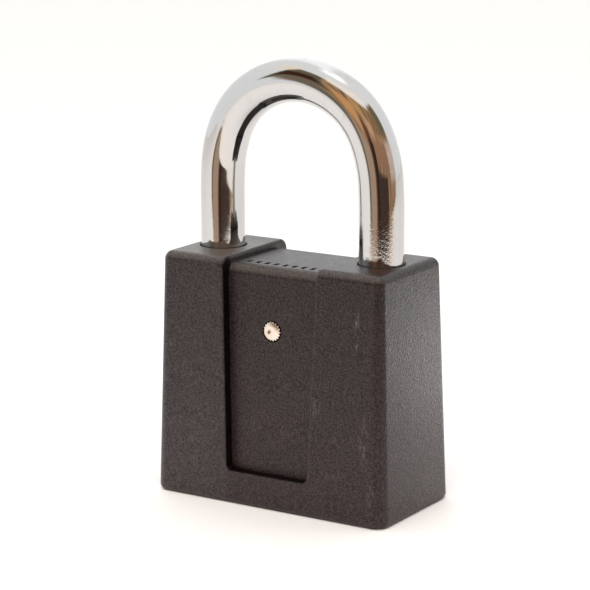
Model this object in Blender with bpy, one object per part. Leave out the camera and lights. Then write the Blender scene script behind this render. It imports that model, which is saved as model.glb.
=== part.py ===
"""Disc padlock: a tapered case on an inner lock body, a round-bar shackle held
by two balls, and a disc-detainer cylinder that turns the cam between them.

Frame: +Z up along the shackle legs, the keyway under the case, the front face
with the round pin head towards -Y. The origin is at the centre of the case's
underside. It is drawn with the shackle down and the cylinder in its unlocked
position. Dimensions are in millimetres; MM turns them into Blender's metres.
Unless a name says otherwise, _R is a radius, _W a width, _T a thickness and
_Z0 and _Z1 are the lower and upper ends.
"""

import functools
import math

import bmesh
import bpy
from mathutils import Vector

MM = 0.001

# Case: a block that tapers upwards in width and depth
CASE_H = 60.8
CASE_W_TOP, CASE_W_BOTTOM = 62.4, 66.0
CASE_D_TOP, CASE_D_BOTTOM = 28.8, 33.6
CASE_EDGE_R_TOP, CASE_EDGE_R_BOTTOM = 2.0, 3.4  # rounding of the upright edges
SIDE_WALL = 1.7                                 # jacket wall beside the legs
PANEL_DEPTH, PANEL_DROP = 2.7, 1.65             # how far the panel lies behind and below
FIT = 0.25                                      # gap between case parts

# Bottom cover and lock body
COVER_T = 2.6
BODY_Z0, BODY_Z1 = COVER_T + FIT, CASE_H - PANEL_DROP
INNER_EDGE_R = 1.0                              # upright edges of both

# Shackle legs, which stand at -X (heel) and +X (toe)
LEG_X = 22.8
HEEL_END_Z, HEEL_BORE_Z = 24.0, 7.6
TOE_END_Z, TOE_BORE_Z = 46.5, 45.0

# Locking balls
BALL_R = 5.2
BALL_Z = 52.0
BALL_X_FREE, BALL_X_LOCKED = 11.9, 14.1
BALL_BORE_R = BALL_R + 0.2                      # also the radius of the leg pockets

# Cover screws
SCREW_SIDES = (("left", -14.0), ("right", 14.0))  # name, x
SCREW_R, SCREW_HEAD_R, SCREW_HEAD_H, SCREW_Z1 = 1.5, 2.75, 1.45, 11.0

# Disc cylinder, from the outside in
HOUSING_R, HOUSING_BORE_R, HOUSING_Z0, HOUSING_Z1 = 9.4, 7.6, 3.2, 46.9
CLIP_GROOVE_R, CLIP_GROOVE_Z0, CLIP_GROOVE_Z1 = 8.3, 44.95, 46.05
DRUM_R, DRUM_BORE_R = 7.4, 6.0
DRUM_Z0, DRUM_FLOOR_Z, DRUM_Z1 = 6.7, 37.35, 44.0
STACK_CUT_Z1 = DRUM_FLOOR_Z - 0.1               # top of the lug slot and keyway cutters
TAIL_R, TAIL_Z1 = 3.8, 47.3
TANG_W, TANG_T, TANG_Z1 = 6.8, 2.6, 50.2
SIDEBAR_Z0, SIDEBAR_Z1 = 8.6, 36.3
GATE_W = 2.8                                    # notch in each disc's rim for the sidebar
LUG_W = 1.3                                     # lug on each spacer's rim

# Drawing aids
OVERCUT = 1.0                                   # cutters run past a face by multiples of this
SHOULDER_H = 0.01                               # height over which a square shoulder is drawn

MATERIALS = {
    "case_black": dict(colour=(0.035, 0.030, 0.030), roughness=0.55, metallic=0.0),
    "body_black": dict(colour=(0.032, 0.028, 0.028), roughness=0.50, metallic=0.0),
    "cover_black": dict(colour=(0.030, 0.028, 0.028), roughness=0.55, metallic=0.0),
    "chrome": dict(colour=(0.80, 0.80, 0.80), roughness=0.08, metallic=1.0),
    "screw_steel": dict(colour=(0.30, 0.30, 0.31), roughness=0.35, metallic=1.0),
    "pin_copper": dict(colour=(0.80, 0.52, 0.38), roughness=0.30, metallic=1.0),
    "housing_brass": dict(colour=(0.70, 0.53, 0.25), roughness=0.35, metallic=1.0),
    "drum_brass": dict(colour=(0.74, 0.57, 0.29), roughness=0.32, metallic=1.0),
    "disc_brass": dict(colour=(0.78, 0.60, 0.30), roughness=0.30, metallic=1.0),
    "spacer_steel": dict(colour=(0.55, 0.55, 0.56), roughness=0.35, metallic=1.0),
    "hard_steel": dict(colour=(0.62, 0.62, 0.64), roughness=0.18, metallic=1.0),
    "cam_steel": dict(colour=(0.45, 0.45, 0.47), roughness=0.32, metallic=1.0),
    "plate_steel": dict(colour=(0.50, 0.50, 0.52), roughness=0.28, metallic=1.0),
    "spring_steel": dict(colour=(0.40, 0.40, 0.42), roughness=0.35, metallic=1.0),
}


# ---- Objects, materials and modifiers ----

def clear_scene():
    for item in list(bpy.data.objects):
        bpy.data.objects.remove(item, do_unlink=True)


@functools.cache
def material(name):
    """The named entry of MATERIALS, made the first time it is asked for."""
    look = MATERIALS[name]
    made = bpy.data.materials.new(name)
    made.use_nodes = True
    shader = made.node_tree.nodes["Principled BSDF"]
    shader.inputs["Base Color"].default_value = (*look["colour"], 1.0)
    shader.inputs["Roughness"].default_value = look["roughness"]
    shader.inputs["Metallic"].default_value = look["metallic"]
    made.diffuse_color = (*look["colour"], 1.0)
    return made


def add_object(name, data, finish=None, location=(0, 0, 0), parent=None):
    """An object and its data under one name; finish is a key of MATERIALS."""
    item = bpy.data.objects.new(name, data)
    bpy.context.scene.collection.objects.link(item)
    item.location = Vector(location) * MM
    if data:
        data.name = name
    if finish:
        data.materials.append(material(finish))
    if parent:
        item.parent = parent
    return item


def add_axis(name, location):
    """An empty on a joint's axis, to which the pieces that move about it are parented."""
    return add_object(name, None, location=location)


def add_cutter(name, mesh, location=(0, 0, 0)):
    item = add_object(name, mesh, location=location)
    item.hide_render = True
    item.display_type = "WIRE"
    return item


def boolean(target, other, operation="DIFFERENCE"):
    modifier = target.modifiers.new(f"{operation.lower()}_{other.name}", "BOOLEAN")
    modifier.operation = operation
    modifier.solver = "EXACT"
    modifier.object = other


def cut(target, name, mesh, location=(0, 0, 0)):
    """Take a shape that only this piece needs out of it."""
    boolean(target, add_cutter(name, mesh, location))


# ---- Meshes ----

def finish_mesh(bm, smooth=30):
    """A mesh with its edges sharp above an angle of `smooth` degrees."""
    bmesh.ops.remove_doubles(bm, verts=bm.verts, dist=1e-7)
    bmesh.ops.recalc_face_normals(bm, faces=bm.faces)
    mesh = bpy.data.meshes.new("part")
    bm.to_mesh(mesh)
    bm.free()
    mesh.shade_smooth()
    mesh.set_sharp_from_angle(angle=math.radians(smooth))
    return mesh


def loft(rings):
    """A closed solid through rings of 3-D points, each with the same number of points."""
    bm = bmesh.new()
    loops = [[bm.verts.new(Vector(point) * MM) for point in ring] for ring in rings]
    for lower, upper in zip(loops, loops[1:]):
        for i in range(len(lower)):
            j = (i + 1) % len(lower)
            bm.faces.new((lower[i], lower[j], upper[j], upper[i]))
    bm.faces.new(loops[0][::-1])
    bm.faces.new(loops[-1])
    return finish_mesh(bm)


def turned(profile, steps=36, axis="Z"):
    """A solid of revolution: a closed (radius, height) outline spun about Z or Y."""
    bm = bmesh.new()
    if axis == "Z":
        places, spin_axis = [(r, 0, h) for r, h in profile], (0, 0, 1)
    else:
        places, spin_axis = [(r, h, 0) for r, h in profile], (0, 1, 0)
    points = [bm.verts.new(Vector(place) * MM) for place in places]
    edges = []
    for start, end in zip(points, points[1:] + points[:1]):
        on_axis = abs(start.co.x) < 1e-9 and abs(end.co.x) < 1e-9
        if not on_axis:
            edges.append(bm.edges.new((start, end)))
    bmesh.ops.spin(bm, geom=points + edges, cent=(0, 0, 0), axis=spin_axis,
                   angle=2 * math.pi, steps=steps, use_merge=True, use_duplicate=False)
    bmesh.ops.remove_doubles(bm, verts=bm.verts, dist=1e-7)
    bmesh.ops.dissolve_degenerate(bm, edges=bm.edges, dist=1e-8)
    return finish_mesh(bm)


def extruded(outline, z0, z1):
    """A prism over a flat (x, y) outline."""
    return loft([[(x, y, z) for x, y in outline] for z in (z0, z1)])


def rod(radius, z0, z1, count=36):
    return extruded(circle(radius, count), z0, z1)


def box(low, high):
    (x0, y0, z0), (x1, y1, z1) = low, high
    return extruded([(x0, y0), (x1, y0), (x1, y1), (x0, y1)], z0, z1)


def sphere(radius, segments, rings, smooth=30):
    bm = bmesh.new()
    bmesh.ops.create_uvsphere(bm, u_segments=segments, v_segments=rings, radius=radius * MM)
    return finish_mesh(bm, smooth)


# ---- Outlines ----

def circle(radius, count):
    return [(radius * math.cos(2 * math.pi * i / count),
             radius * math.sin(2 * math.pi * i / count)) for i in range(count)]


def arc(radius, start, end, steps):
    """Points from one angle to the other, both ends included."""
    angles = [start + (end - start) * i / steps for i in range(steps + 1)]
    return [(radius * math.cos(angle), radius * math.sin(angle)) for angle in angles]


def rounded_rectangle(half_x, half_y, radius):
    points = []
    for quarter, (sx, sy) in enumerate(((1, 1), (-1, 1), (-1, -1), (1, -1))):
        centre_x, centre_y = sx * (half_x - radius), sy * (half_y - radius)
        start = math.pi / 2 * quarter
        points += [(centre_x + x, centre_y + y)
                   for x, y in arc(radius, start, start + math.pi / 2, 5)]
    return points


def rim_outline(radius, features, count=28):
    """A round outline with notches or lugs, each (angle, half width, radius it reaches),
    in order of angle. A whole turn of plain rim would have `count` points."""
    points = []
    for i, (angle, half, reach) in enumerate(features):
        spread = math.asin(half / radius)
        along = Vector((math.cos(angle), math.sin(angle)))
        across = Vector((-math.sin(angle), math.cos(angle)))
        rim = radius * math.cos(spread)
        for out, side in ((rim, -half), (reach, -half), (reach, half), (rim, half)):
            points.append(tuple(along * out + across * side))

        next_angle, next_half, _ = features[(i + 1) % len(features)]
        if i == len(features) - 1:
            next_angle += 2 * math.pi
        arc_start = angle + spread
        arc_end = next_angle - math.asin(next_half / radius)
        steps = max(2, round(count * (arc_end - arc_start) / (2 * math.pi)))
        points += arc(radius, arc_start, arc_end, steps)[1:-1]
    return points


# ---- The case's taper ----

def at_height(bottom, top, z):
    return bottom + (top - bottom) * z / CASE_H


def half_width(z):
    return at_height(CASE_W_BOTTOM, CASE_W_TOP, z) / 2


def half_depth(z):
    return at_height(CASE_D_BOTTOM, CASE_D_TOP, z) / 2


def tapered_block(z0, z1, inset_x, inset_y, top_r=0.0, foot_r=0.0, corner=None):
    """A block that follows the case's taper, inset from its faces, with rounded edges.

    Its upright edges are rounded by `corner`, or like the case's own without it."""
    steps = 4
    least_corner = 0.3
    turns = [math.pi / 2 * i / steps for i in range(steps + 1)]
    levels = [(z0, 0.0)]  # (z, inset by the edge rounding)
    if foot_r:
        levels = [(z0 + foot_r * (1 - math.sin(turn)), foot_r * (1 - math.cos(turn)))
                  for turn in reversed(turns)]
    if top_r:
        levels += [(z1 - top_r * (1 - math.sin(turn)), top_r * (1 - math.cos(turn)))
                   for turn in turns]
    else:
        levels.append((z1, 0.0))
    rings = []
    for z, inset in levels:
        edge_r = at_height(CASE_EDGE_R_BOTTOM, CASE_EDGE_R_TOP, z) if corner is None else corner
        outline = rounded_rectangle(half_width(z) - inset_x - inset,
                                    half_depth(z) - inset_y - inset,
                                    max(least_corner, edge_r - inset))
        rings.append([(x, y, z) for x, y in outline])
    return loft(rings)


# ---- Jacket: tapered shell, open underneath ----

CASE_TOP_R, CASE_FOOT_R = 2.1, 1.4              # rounding of the top and bottom edges
CAVITY_EDGE_R = 1.2
WINDOW_Z = 8.4                                  # sill of the window in the jacket
WINDOW_W_SILL, WINDOW_W_TOP = 23.0, 26.6
WINDOW_CUT_Y, WINDOW_CUT_RISE = 30.0, 5.0       # the cutter's half depth, and height above the case
LEG_BORE_R = 5.8
TOE_BORE_L, HEEL_BORE_L = 30, 70                # lengths of the bore cutters


def window_mesh():
    """The window across front, top and back, whose sides lean outwards."""
    lean = (WINDOW_W_TOP - WINDOW_W_SILL) / 2 / (CASE_H - WINDOW_Z)
    half_sill = WINDOW_W_SILL / 2
    half_top = WINDOW_W_TOP / 2 + WINDOW_CUT_RISE * lean
    top_z = CASE_H + WINDOW_CUT_RISE
    return loft([[(-half_sill, y, WINDOW_Z), (half_sill, y, WINDOW_Z),
                  (half_top, y, top_z), (-half_top, y, top_z)]
                 for y in (-WINDOW_CUT_Y, WINDOW_CUT_Y)])


def add_leg_bores():
    """Bores that pass through the jacket's top and down into the lock body."""
    return (
        add_cutter("toe_bore_cutter", rod(LEG_BORE_R, 0, TOE_BORE_L), (LEG_X, 0, TOE_BORE_Z)),
        add_cutter("heel_bore_cutter", rod(LEG_BORE_R, 0, HEEL_BORE_L),
                   (-LEG_X, 0, HEEL_BORE_Z)))


def build_jacket(leg_bores):
    jacket = add_object("jacket", tapered_block(
        0.0, CASE_H, 0.0, 0.0, CASE_TOP_R, CASE_FOOT_R), "case_black")
    cut(jacket, "cavity_cutter", tapered_block(
        -OVERCUT, BODY_Z1 + FIT, SIDE_WALL, PANEL_DEPTH - FIT, corner=CAVITY_EDGE_R))
    cut(jacket, "window_cutter", window_mesh())
    for bore in leg_bores:
        boolean(jacket, bore)


# ---- Lock body ----

PANEL_EDGE_R = 2.6
CORE_BORE_R, CORE_BORE_TOP = 9.6, 47.2
CAM_BORE_R, CAM_BORE_TOP = 9.1, 57.0
BALL_BORE_X = LEG_X - 2.0                       # the ball bore ends inside the leg bores
TAPPED_HOLE_GAP, TAPPED_HOLE_SPARE = 0.2, 1.5   # around and above the screw


def build_lock_body(leg_bores, pin_hole):
    body = add_object("lock_body", tapered_block(
        BODY_Z0, BODY_Z1, SIDE_WALL + FIT, PANEL_DEPTH, PANEL_EDGE_R, corner=INNER_EDGE_R),
        "body_black")
    bore_z0 = BODY_Z0 - 2 * OVERCUT
    cut(body, "core_bore_cutter", turned([
        (0, bore_z0), (CORE_BORE_R, bore_z0), (CORE_BORE_R, CORE_BORE_TOP),
        (CAM_BORE_R, CORE_BORE_TOP), (CAM_BORE_R, CAM_BORE_TOP), (0, CAM_BORE_TOP)], steps=40))
    cut(body, "ball_bore_cutter", loft([
        [(x, BALL_BORE_R * c, BALL_Z + BALL_BORE_R * s) for c, s in circle(1.0, 24)]
        for x in (-BALL_BORE_X, BALL_BORE_X)]))
    for bore in leg_bores:
        boolean(body, bore)
    for side, x in SCREW_SIDES:
        cut(body, f"{side}_tapped_hole",
            rod(SCREW_R + TAPPED_HOLE_GAP, 0, SCREW_Z1 + TAPPED_HOLE_SPARE, count=20), (x, 0, 0))
    boolean(body, pin_hole)


# ---- Bottom cover and the screws that hold it up against the lock body ----

COVER_HOLE_R = 6.3                              # shows the keyway plate
SINK_GAP, SINK_RIM_Z, SINK_DROP = 0.2, 0.2, 0.3  # countersink around and above the screw head
SCREW_HOLE_GAP = 0.25
SCREW_Z0, SCREW_POINT = 0.12, 0.4               # face of the head, chamfer of the far end
SCREW_RIM_W, SCREW_RIM_Z = 0.15, 0.35           # bevel around the head
SOCKET_R, SOCKET_Z1 = 1.15, 1.15                # six-sided socket


def build_bottom_cover():
    cover = add_object("bottom_cover", tapered_block(
        0.0, COVER_T, SIDE_WALL + FIT, PANEL_DEPTH, corner=INNER_EDGE_R), "cover_black")
    cut(cover, "cover_hole_cutter", rod(COVER_HOLE_R, -OVERCUT, COVER_T + OVERCUT))
    sink_z0, sink_z1 = -OVERCUT / 2, COVER_T + OVERCUT / 2
    sink_r, hole_r = SCREW_HEAD_R + SINK_GAP, SCREW_R + SCREW_HOLE_GAP
    for side, x in SCREW_SIDES:
        cut(cover, f"{side}_sink_cutter", turned([
            (0, sink_z0), (sink_r, sink_z0), (sink_r, SINK_RIM_Z),
            (hole_r, SCREW_HEAD_H + SINK_DROP), (hole_r, sink_z1), (0, sink_z1)],
            steps=24), (x, 0, 0))
        build_cover_screw(side, x)


def build_cover_screw(side, x):
    screw = add_object(f"cover_screw_{side}", turned([
        (0, SCREW_Z0), (SCREW_HEAD_R - SCREW_RIM_W, SCREW_Z0), (SCREW_HEAD_R, SCREW_RIM_Z),
        (SCREW_R, SCREW_HEAD_H), (SCREW_R, SCREW_Z1 - SCREW_POINT),
        (SCREW_R - SCREW_POINT, SCREW_Z1), (0, SCREW_Z1)], steps=24), "screw_steel", (x, 0, 0))
    cut(screw, f"{side}_socket_cutter", rod(SOCKET_R, -OVERCUT, SOCKET_Z1, count=6), (x, 0, 0))


# ---- Pin that ties the cylinder to the lock body; its knurled head lies in the panel ----

PIN_X, PIN_Z = -0.5, 43.7
PIN_HEAD_R, PIN_HEAD_T, PIN_SHANK_R, PIN_TIP_Y = 2.4, 1.2, 1.5, -8.25
PIN_TEETH = 18
PANEL_Y = -(half_depth(PIN_Z) - PANEL_DEPTH)    # front panel at the pin's height
PIN_FACE_Y = PANEL_Y - 0.25                     # the head stands this far proud of it
PIN_TIP_CHAMFER = 0.3
PIN_HEAD_GAP, PIN_SHANK_GAP, PIN_UNDERHEAD_GAP = 0.3, 0.2, 0.2
PIN_HOLE_DEPTH = 4.6


def add_pin_hole():
    mouth_y, seat_y = -3 * OVERCUT, PIN_HEAD_T + PIN_UNDERHEAD_GAP
    head_r, shank_r = PIN_HEAD_R + PIN_HEAD_GAP, PIN_SHANK_R + PIN_SHANK_GAP
    return add_cutter("pin_hole_cutter", turned([
        (0, mouth_y), (head_r, mouth_y), (head_r, seat_y), (shank_r, seat_y),
        (shank_r, PIN_HOLE_DEPTH), (0, PIN_HOLE_DEPTH)], steps=32, axis="Y"),
        (PIN_X, PANEL_Y, PIN_Z))


def build_retaining_pin():
    length = PIN_TIP_Y - PIN_FACE_Y
    stations = [  # radius, y from the head's face, depth of the teeth
        (0.35, 0.40, 0.0),                      # dimple in the face
        (0.60, 0.0, 0.0),
        (PIN_HEAD_R - 0.35, 0.0, 0.0),
        (PIN_HEAD_R - 0.05, 0.30, 0.22),
        (PIN_HEAD_R, 0.45, 0.28),
        (PIN_HEAD_R, PIN_HEAD_T, 0.28),
        (PIN_SHANK_R, PIN_HEAD_T + SHOULDER_H, 0.0),
        (PIN_SHANK_R, length - PIN_TIP_CHAMFER, 0.0),
        (PIN_SHANK_R - PIN_TIP_CHAMFER, length, 0.0),
    ]
    rings = []
    for radius, y, tooth in stations:
        rings.append([((radius - tooth * (i % 2)) * c, y, (radius - tooth * (i % 2)) * s)
                      for i, (c, s) in enumerate(circle(1.0, 2 * PIN_TEETH))])
    add_object("retaining_pin", loft(rings), "pin_copper", (PIN_X, PIN_FACE_Y, PIN_Z))


# ---- Shackle: round bar, bent to a half circle, with its origin on the heel leg's axis ----

BAR_R = 5.5
BAR_CHAMFER = 0.9
BOW_Z = CASE_H + 19.7
BOW_STEPS = 22
NECK_R, NECK_Z0, NECK_Z1 = 3.3, 31.5, 43.0      # waist for the heel ball with the shackle up


def shackle_mesh():
    """Rings across the bar, from the heel leg's foot over the bow to the toe leg's end."""
    stations = [  # x, z, tilt of the ring about Y, bar radius
        (-LEG_X, HEEL_END_Z, 0.0, BAR_R - BAR_CHAMFER),
        (-LEG_X, HEEL_END_Z + BAR_CHAMFER, 0.0, BAR_R),
        (-LEG_X, NECK_Z0, 0.0, BAR_R),
        (-LEG_X, NECK_Z0 + SHOULDER_H, 0.0, NECK_R),
        (-LEG_X, NECK_Z1 - SHOULDER_H, 0.0, NECK_R),
        (-LEG_X, NECK_Z1, 0.0, BAR_R),
    ]
    for i in range(BOW_STEPS + 1):
        angle = math.pi * (1 - i / BOW_STEPS)
        stations.append((LEG_X * math.cos(angle), BOW_Z + LEG_X * math.sin(angle),
                         angle - math.pi, BAR_R))
    stations += [
        (LEG_X, TOE_END_Z + BAR_CHAMFER, -math.pi, BAR_R),
        (LEG_X, TOE_END_Z, -math.pi, BAR_R - BAR_CHAMFER),
    ]
    return loft([[(x + LEG_X + radius * c * math.cos(tilt), radius * s,
                   z - CASE_H + radius * c * math.sin(tilt)) for c, s in circle(1.0, 28)]
                 for x, z, tilt, radius in stations])


def build_shackle():
    axis = add_axis("shackle_axis", (-LEG_X, 0, CASE_H))
    shackle = add_object("shackle", shackle_mesh(), "chrome", parent=axis)
    # Each leg has a pocket for its ball
    for leg, x in (("toe", BALL_X_LOCKED), ("heel", -BALL_X_LOCKED)):
        cut(shackle, f"{leg}_pocket_cutter", sphere(BALL_BORE_R, 24, 14), (x, 0, BALL_Z))


# ---- Shackle spring, from the floor of the heel bore to the end of the leg ----

SPRING_WIRE_R, SPRING_R, SPRING_TURNS = 0.5, 4.1, 6.5
SPRING_END_GAP = 0.3                            # between the wire and what it bears on
SPRING_END_TURNS = 0.9                          # almost flat part of a turn at each end
SPRING_END_PITCH = 1.25 * 2 * SPRING_WIRE_R
SPRING_STEPS_PER_TURN = 13


def spring_curve():
    """Round wire coiled about Z."""
    curve = bpy.data.curves.new("spring", "CURVE")
    curve.dimensions = "3D"
    curve.bevel_depth = SPRING_WIRE_R * MM
    curve.bevel_resolution = 1
    curve.use_fill_caps = True
    count = round(SPRING_TURNS * SPRING_STEPS_PER_TURN)
    low = SPRING_WIRE_R + SPRING_END_GAP
    high = HEEL_END_Z - HEEL_BORE_Z - low
    middle_rise = high - low - SPRING_END_PITCH * 2 * SPRING_END_TURNS
    middle_turns = SPRING_TURNS - 2 * SPRING_END_TURNS
    spline = curve.splines.new("POLY")
    spline.points.add(count)
    for i, point in enumerate(spline.points):
        turn = SPRING_TURNS * i / count
        # the end coils rise at their own pitch, the ones between share the rest
        middle = min(max((turn - SPRING_END_TURNS) / middle_turns, 0.0), 1.0)
        ends = (min(turn, SPRING_END_TURNS)
                + max(turn - SPRING_TURNS + SPRING_END_TURNS, 0.0))
        z = low + SPRING_END_PITCH * ends + middle_rise * middle
        angle = 2 * math.pi * turn
        point.co = (SPRING_R * math.cos(angle) * MM, SPRING_R * math.sin(angle) * MM, z * MM, 1)
    return curve


def build_shackle_spring():
    add_object("shackle_spring", spring_curve(), "spring_steel", (-LEG_X, 0, HEEL_BORE_Z))


# ---- Locking balls and the cam that spreads them ----

CAM_GAP = 0.15                                  # between cam and ball
CAM_R_FREE = BALL_X_FREE - BALL_R - CAM_GAP
CAM_R_LOCKED = BALL_X_LOCKED - BALL_R - CAM_GAP
CAM_Z0, CAM_Z1, CAM_BOSS_Z, CAM_BOSS_R = 47.9, 56.1, 56.6, 3.0
CAM_POINTS = 48
TANG_GAP = 0.2


def build_balls():
    for name, x in (("ball_toe", BALL_X_FREE), ("ball_heel", -BALL_X_FREE)):
        add_object(name, sphere(BALL_R, 20, 12, smooth=60), "hard_steel", (x, 0, BALL_Z))


def cam_mesh():
    """Two lobes with spiral flanks, so that the balls move out in step with the turn."""
    lobes = []
    for i in range(CAM_POINTS):
        angle = 2 * math.pi * i / CAM_POINTS
        rise = abs(((angle + math.pi / 2) % math.pi) - math.pi / 2) / (math.pi / 2)
        radius = CAM_R_FREE + (CAM_R_LOCKED - CAM_R_FREE) * rise
        lobes.append((radius * math.cos(angle), radius * math.sin(angle)))
    boss = circle(CAM_BOSS_R, CAM_POINTS)
    levels = ((lobes, CAM_Z0), (lobes, CAM_Z1), (boss, CAM_Z1 + SHOULDER_H), (boss, CAM_BOSS_Z))
    return loft([[(x, y, z) for x, y in outline] for outline, z in levels])


def build_ball_cam(core):
    cam = add_object("ball_cam", cam_mesh(), "cam_steel", parent=core)
    half_x, half_y = TANG_W / 2 + TANG_GAP, TANG_T / 2 + TANG_GAP
    cut(cam, "tang_slot_cutter", box((-half_x, -half_y, CAM_Z0 - OVERCUT),
                                     (half_x, half_y, TANG_Z1 + TANG_GAP)))


# ---- Cylinder housing: tube with a lip below and a clip groove above ----

LIP_R, LIP_Z1 = 6.2, 4.9
SIDEBAR_GROOVE_R = 1.35
SIDEBAR_GROOVE_Y = HOUSING_BORE_R - 0.15
SIDEBAR_GROOVE_END = 0.4                        # groove beyond each end of the sidebar
CLIP_R, CLIP_INNER_R = 8.05, 5.4
CLIP_START, CLIP_END = math.radians(20), math.radians(340)
CLIP_GAP = 0.2                                  # above and below the clip in its groove


def build_cylinder_housing(pin_hole):
    housing = add_object("cylinder_housing", turned([
        (LIP_R, HOUSING_Z0), (HOUSING_R, HOUSING_Z0), (HOUSING_R, HOUSING_Z1),
        (HOUSING_BORE_R, HOUSING_Z1), (HOUSING_BORE_R, CLIP_GROOVE_Z1),
        (CLIP_GROOVE_R, CLIP_GROOVE_Z1), (CLIP_GROOVE_R, CLIP_GROOVE_Z0),
        (HOUSING_BORE_R, CLIP_GROOVE_Z0), (HOUSING_BORE_R, LIP_Z1), (LIP_R, LIP_Z1)]),
        "housing_brass")
    cut(housing, "sidebar_groove_cutter", rod(
        SIDEBAR_GROOVE_R, SIDEBAR_Z0 - SIDEBAR_GROOVE_END, SIDEBAR_Z1 + SIDEBAR_GROOVE_END,
        count=16), (0, SIDEBAR_GROOVE_Y, 0))
    boolean(housing, pin_hole)


def build_core_retaining_ring():
    """An open ring in the clip groove, with its gap towards +X."""
    outline = (arc(CLIP_R, CLIP_START, CLIP_END, 30)
               + arc(CLIP_INNER_R, CLIP_END, CLIP_START, 30))
    add_object("core_retaining_ring", extruded(
        outline, CLIP_GROOVE_Z0 + CLIP_GAP, CLIP_GROOVE_Z1 - CLIP_GAP), "spring_steel")


# ---- Core: the drum and its washer, and the sidebar ----

WASHER_R, WASHER_BORE_R, WASHER_Z0, WASHER_Z1 = 7.3, TAIL_R + 0.25, 44.15, 44.85
SLOT_R0, SLOT_R1 = 4.0, 9.0                     # reach of the cutters through the drum's wall
SIDEBAR_SLOT_END = 0.3                          # slot beyond each end of the sidebar
LUG_GAP = 0.2
SIDEBAR_W, SIDEBAR_R0, SIDEBAR_R1 = 2.3, 4.95, 7.2


def build_thrust_washer(core):
    add_object("thrust_washer", turned([
        (WASHER_BORE_R, WASHER_Z0), (WASHER_R, WASHER_Z0),
        (WASHER_R, WASHER_Z1), (WASHER_BORE_R, WASHER_Z1)], steps=32),
        "spacer_steel", parent=core)


def build_disc_core(core):
    """A drum open below, with a tail and a flat tang above that turns the cam."""
    drum = add_object("disc_core", turned([
        (DRUM_BORE_R, DRUM_Z0), (DRUM_R, DRUM_Z0), (DRUM_R, DRUM_Z1), (TAIL_R, DRUM_Z1),
        (TAIL_R, TAIL_Z1), (0, TAIL_Z1), (0, DRUM_FLOOR_Z), (DRUM_BORE_R, DRUM_FLOOR_Z)]),
        "drum_brass", parent=core)
    tang = add_cutter("tang_block", box((-TANG_W / 2, -TANG_T / 2, TAIL_Z1 - OVERCUT),
                                        (TANG_W / 2, TANG_T / 2, TANG_Z1)))
    boolean(drum, tang, "UNION")
    cut(drum, "sidebar_slot_cutter", box(
        (SLOT_R0, -GATE_W / 2, SIDEBAR_Z0 - SIDEBAR_SLOT_END),
        (SLOT_R1, GATE_W / 2, SIDEBAR_Z1 + SIDEBAR_SLOT_END)))
    half_lug = LUG_W / 2 + LUG_GAP
    cut(drum, "lug_slot_cutter", box(
        (-SLOT_R1, -half_lug, DRUM_Z0 - OVERCUT), (-SLOT_R0, half_lug, STACK_CUT_Z1)))


def build_sidebar(core):
    half = SIDEBAR_W / 2
    flank = [  # (x, y) along the -Y side, from the inner face outwards
        (SIDEBAR_R0, -half + 0.5),
        (SIDEBAR_R0 + 0.7, -half),
        (SIDEBAR_R1 - 0.6, -half),
        (SIDEBAR_R1 - 0.15, -half + 0.35),
    ]
    outline = flank + [(SIDEBAR_R1, 0.0)] + [(x, -y) for x, y in reversed(flank)]
    add_object("sidebar", extruded(outline, SIDEBAR_Z0, SIDEBAR_Z1), "cam_steel", parent=core)


# ---- Keyway plate, held up by the housing's lip, and the stack of discs and spacers ----

KEYWAY_R, KEYWAY_FLAT_X = 3.7, 0.9              # a circle cut off by a chord
PLATE_NOSE_R, PLATE_NOSE_Z0, PLATE_CHAMFER = 5.9, 0.9, 0.4
PLATE_FLANGE_R, PLATE_FLANGE_Z0, PLATE_FLANGE_Z1 = 7.3, 5.1, 6.45
DISC_COUNT, DISC_R, DISC_T, SPACER_T, STACK_GAP = 11, 5.8, 1.8, 0.7, 0.15
STACK_Z0 = 7.2
GATE_R, LUG_R, SPACER_HOLE_R = 4.7, 6.8, 3.95


def add_keyway():
    """The keyway: the larger part of the circle, with its flat towards +X."""
    half = math.acos(KEYWAY_FLAT_X / KEYWAY_R)
    outline = arc(KEYWAY_R, half, 2 * math.pi - half, 11)
    return add_cutter("keyway_cutter", extruded(outline, -2 * OVERCUT, STACK_CUT_Z1))


def build_keyway_plate(core, keyway):
    plate = add_object("keyway_plate", turned([
        (0, PLATE_NOSE_Z0), (PLATE_NOSE_R - PLATE_CHAMFER, PLATE_NOSE_Z0),
        (PLATE_NOSE_R, PLATE_NOSE_Z0 + PLATE_CHAMFER), (PLATE_NOSE_R, PLATE_FLANGE_Z0),
        (PLATE_FLANGE_R, PLATE_FLANGE_Z0), (PLATE_FLANGE_R, PLATE_FLANGE_Z1),
        (0, PLATE_FLANGE_Z1)]), "plate_steel", parent=core)
    boolean(plate, keyway)


def build_disc_stack(core, keyway):
    """Discs with a gate in the rim, and between them spacers that a lug keeps from turning."""
    pitch = DISC_T + SPACER_T + 2 * STACK_GAP
    gate = (0.0, GATE_W / 2, GATE_R)
    lug = (math.pi, LUG_W / 2, LUG_R)
    disc_outline = rim_outline(DISC_R, [gate])
    spacer_outline = rim_outline(DISC_R, [gate, lug])
    spacer_hole = add_cutter("spacer_hole_cutter", rod(
        SPACER_HOLE_R, STACK_Z0 - OVERCUT, DRUM_FLOOR_Z, count=20))
    for i in range(DISC_COUNT):
        disc_z = STACK_Z0 + i * pitch
        disc = add_object(f"disc_{i + 1}", extruded(disc_outline, 0, DISC_T),
                          "disc_brass", (0, 0, disc_z), core)
        boolean(disc, keyway)
        if i < DISC_COUNT - 1:
            spacer = add_object(f"disc_spacer_{i + 1}", extruded(spacer_outline, 0, SPACER_T),
                                "spacer_steel", (0, 0, disc_z + DISC_T + STACK_GAP), core)
            boolean(spacer, spacer_hole)


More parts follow.
